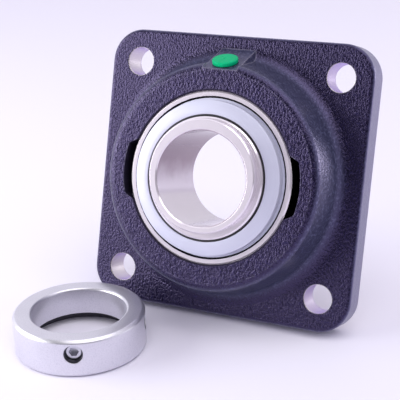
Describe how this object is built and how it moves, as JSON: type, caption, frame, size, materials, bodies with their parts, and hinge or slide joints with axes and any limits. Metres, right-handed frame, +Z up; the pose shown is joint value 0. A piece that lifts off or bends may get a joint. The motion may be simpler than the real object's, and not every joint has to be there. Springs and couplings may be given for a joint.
{
  "type": "flange bearing unit",
  "caption": "Square flange bearing unit: a black cast housing with bolt holes, a self-aligning sealed ball bearing insert and a loose eccentric locking collar.",
  "frame": {"origin": "where the bore axis meets the mounting face, at the middle of the bolt holes", "axes": "+Z up from the table, -Y the way the unit faces, +X to the right; the unit leans back by 17.5 degrees"},
  "size_m": [0.1499, 0.1304, 0.1344],
  "materials": {
    "cast_black": "rough black paint on cast iron",
    "green_plastic": "smooth moulded",
    "ground_steel": "ground and turned",
    "ball_steel": "polished",
    "cage_steel": "pressed sheet",
    "zinc_sheet": "zinc-plated sheet",
    "zinc_collar": "turned, zinc-plated",
    "screw_steel": "satin",
    "black_rubber": "matt"
  },
  "bodies": {
    "housing": {"flange_housing": "cast_black"},
    "plug": {"grease_plug": "green_plastic"},
    "insert": {"outer_ring": "ground_steel", "front_shield": "zinc_sheet", "rear_shield": "zinc_sheet", "front_lip_seal": "black_rubber", "rear_lip_seal": "black_rubber"},
    "shaft_ring": {"inner_ring": "ground_steel"},
    "cage": {"cage_front": "cage_steel", "cage_rear": "cage_steel", "cage_rivets": "cage_steel"},
    "ball_01": {"ball_01": "ball_steel"},
    "ball_02": {"ball_02": "ball_steel"},
    "ball_03": {"ball_03": "ball_steel"},
    "ball_04": {"ball_04": "ball_steel"},
    "ball_05": {"ball_05": "ball_steel"},
    "ball_06": {"ball_06": "ball_steel"},
    "ball_07": {"ball_07": "ball_steel"},
    "ball_08": {"ball_08": "ball_steel"},
    "ball_09": {"ball_09": "ball_steel"},
    "ball_10": {"ball_10": "ball_steel"},
    "collar": {"locking_collar": "zinc_collar"},
    "screw": {"set_screw": "screw_steel"}
  },
  "joints": [
    {"name": "insert_align", "type": "hinge", "parent": "housing", "child": "insert", "pos_m": [0, -0.02384, 0.00752], "axis": [1, 0, 0], "range_deg": [-3, 3]},
    {"name": "shaft_spin", "type": "hinge", "parent": "insert", "child": "shaft_ring", "pos_m": [0, -0.02384, 0.00752], "axis": [0, -0.9537, 0.3007], "continuous": true},
    {"name": "cage_orbit", "type": "hinge", "parent": "insert", "child": "cage", "pos_m": [0, -0.02384, 0.00752], "axis": [0, -0.9537, 0.3007], "continuous": true},
    {"name": "ball_01_spin", "type": "hinge", "parent": "cage", "child": "ball_01", "pos_m": [0.03091, -0.02082, 0.0171], "axis": [0, -0.9537, 0.3007], "continuous": true},
    {"name": "ball_02_spin", "type": "hinge", "parent": "cage", "child": "ball_02", "pos_m": [0.0191, -0.01594, 0.03259], "axis": [0, -0.9537, 0.3007], "continuous": true},
    {"name": "ball_03_spin", "type": "hinge", "parent": "cage", "child": "ball_03", "pos_m": [0, -0.01407, 0.03851], "axis": [0, -0.9537, 0.3007], "continuous": true},
    {"name": "ball_04_spin", "type": "hinge", "parent": "cage", "child": "ball_04", "pos_m": [-0.0191, -0.01594, 0.03259], "axis": [0, -0.9537, 0.3007], "continuous": true},
    {"name": "ball_05_spin", "type": "hinge", "parent": "cage", "child": "ball_05", "pos_m": [-0.03091, -0.02082, 0.0171], "axis": [0, -0.9537, 0.3007], "continuous": true},
    {"name": "ball_06_spin", "type": "hinge", "parent": "cage", "child": "ball_06", "pos_m": [-0.03091, -0.02686, -0.00206], "axis": [0, -0.9537, 0.3007], "continuous": true},
    {"name": "ball_07_spin", "type": "hinge", "parent": "cage", "child": "ball_07", "pos_m": [-0.0191, -0.03175, -0.01756], "axis": [0, -0.9537, 0.3007], "continuous": true},
    {"name": "ball_08_spin", "type": "hinge", "parent": "cage", "child": "ball_08", "pos_m": [0, -0.03362, -0.02348], "axis": [0, -0.9537, 0.3007], "continuous": true},
    {"name": "ball_09_spin", "type": "hinge", "parent": "cage", "child": "ball_09", "pos_m": [0.0191, -0.03175, -0.01756], "axis": [0, -0.9537, 0.3007], "continuous": true},
    {"name": "ball_10_spin", "type": "hinge", "parent": "cage", "child": "ball_10", "pos_m": [0.03091, -0.02686, -0.00206], "axis": [0, -0.9537, 0.3007], "continuous": true},
    {"name": "plug_pull", "type": "slide", "parent": "housing", "child": "plug", "axis": [0, -0.1478, 0.989], "range_m": [0, 0.012]},
    {"name": "collar_turn", "type": "hinge", "parent": "housing", "child": "collar", "pos_m": [-0.0499, -0.0783, -0.06533], "axis": [0, 0, 1], "continuous": true},
    {"name": "screw_drive", "type": "slide", "parent": "collar", "child": "screw", "axis": [0.4226, -0.9063, 0], "range_m": [-0.0008, 0.004]}
  ],
  "couplings": [
    {"joint": "cage_orbit", "follows": "shaft_spin", "ratio": 0.40231},
    {"joint": "ball_01_spin", "follows": "shaft_spin", "ratio": -2.4614},
    {"joint": "ball_02_spin", "follows": "shaft_spin", "ratio": -2.4614},
    {"joint": "ball_03_spin", "follows": "shaft_spin", "ratio": -2.4614},
    {"joint": "ball_04_spin", "follows": "shaft_spin", "ratio": -2.4614},
    {"joint": "ball_05_spin", "follows": "shaft_spin", "ratio": -2.4614},
    {"joint": "ball_06_spin", "follows": "shaft_spin", "ratio": -2.4614},
    {"joint": "ball_07_spin", "follows": "shaft_spin", "ratio": -2.4614},
    {"joint": "ball_08_spin", "follows": "shaft_spin", "ratio": -2.4614},
    {"joint": "ball_09_spin", "follows": "shaft_spin", "ratio": -2.4614},
    {"joint": "ball_10_spin", "follows": "shaft_spin", "ratio": -2.4614}
  ]
}
